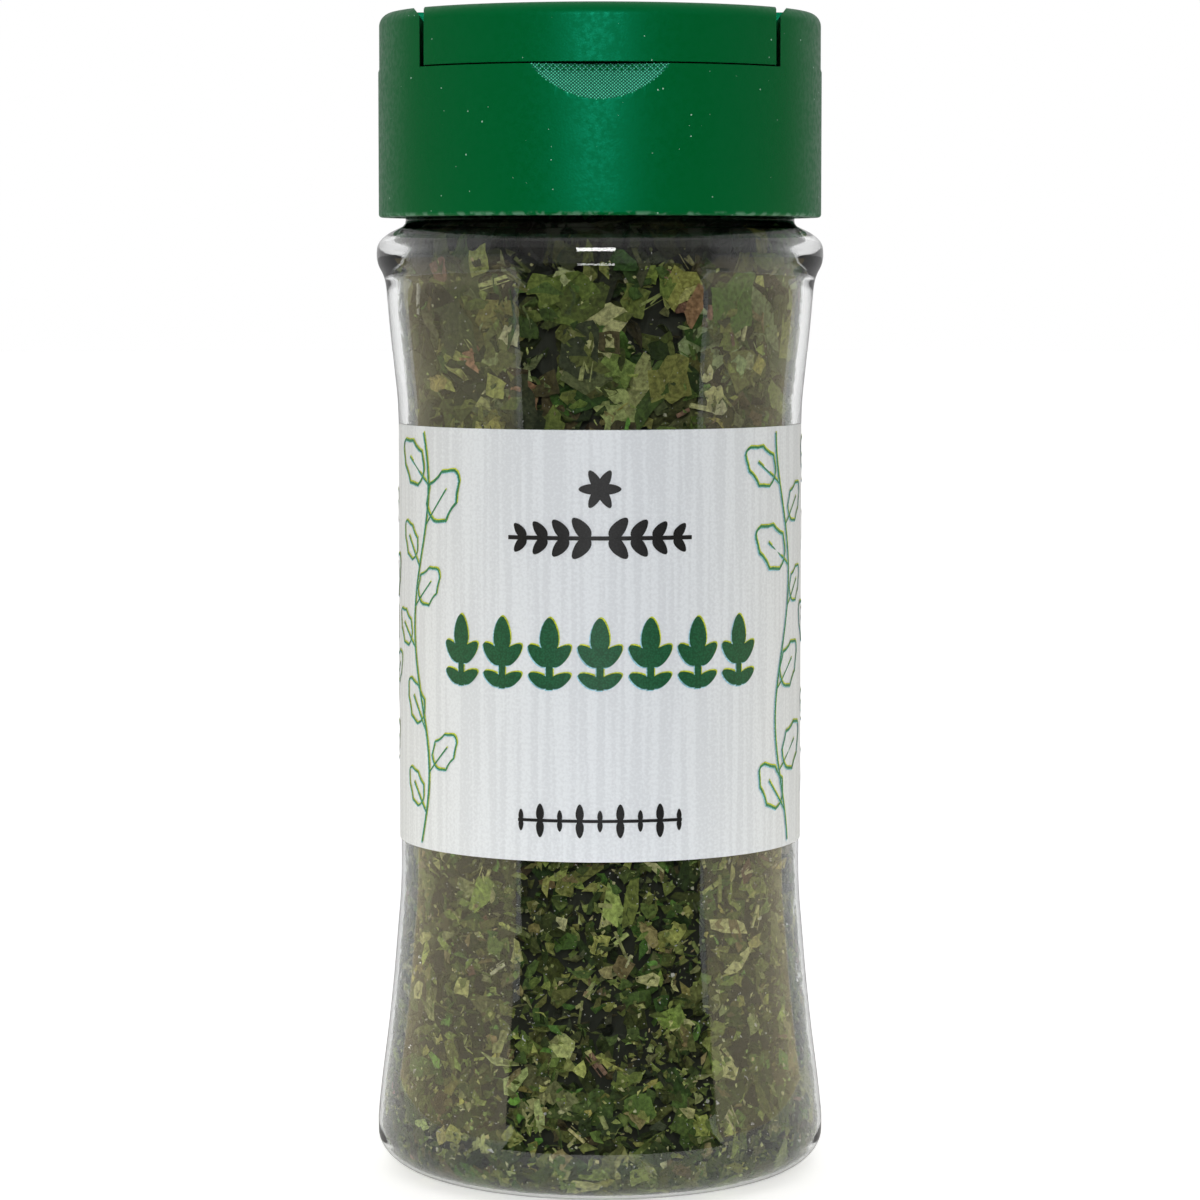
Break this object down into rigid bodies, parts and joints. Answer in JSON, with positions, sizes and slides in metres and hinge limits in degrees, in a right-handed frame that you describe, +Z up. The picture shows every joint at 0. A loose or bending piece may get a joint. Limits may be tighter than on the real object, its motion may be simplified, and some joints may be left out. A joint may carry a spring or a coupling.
{
  "type": "dried parsley spice jar",
  "caption": "Waisted clear plastic jar of dried parsley flakes, with a wrap-round label and a green screw cap whose flaps lift over sifter holes and a spoon opening.",
  "frame": {"origin": "centre of the jar's standing ring, on the surface that it stands on", "axes": "+Z up along the jar's axis, the sifter flap's thumb recess faces -Y and the spoon flap's faces +Y"},
  "size_m": [0.0448, 0.0448, 0.1154],
  "materials": {
    "jar_plastic": "clear, glossy, thin-walled",
    "label_print": "printed film, fine grey ribbed pattern, satin",
    "dried_herb": "dry leaf flakes, matt",
    "cap_plastic": "moulded, satin"
  },
  "bodies": {
    "jar_body": {"jar": "jar_plastic", "label": "label_print", "parsley_flakes": "dried_herb", "cap_base": "cap_plastic"},
    "sift_flap": {"flap_sift": "cap_plastic"},
    "spoon_flap": {"flap_spoon": "cap_plastic"}
  },
  "joints": [
    {"name": "sift_flap_hinge", "type": "hinge", "parent": "jar_body", "child": "sift_flap", "pos_m": [0, -0.00335, 0.1154], "axis": [-1, 0, 0], "range_deg": [0, 95]},
    {"name": "spoon_flap_hinge", "type": "hinge", "parent": "jar_body", "child": "spoon_flap", "pos_m": [0, 0.00335, 0.1154], "axis": [1, 0, 0], "range_deg": [0, 95]}
  ]
}
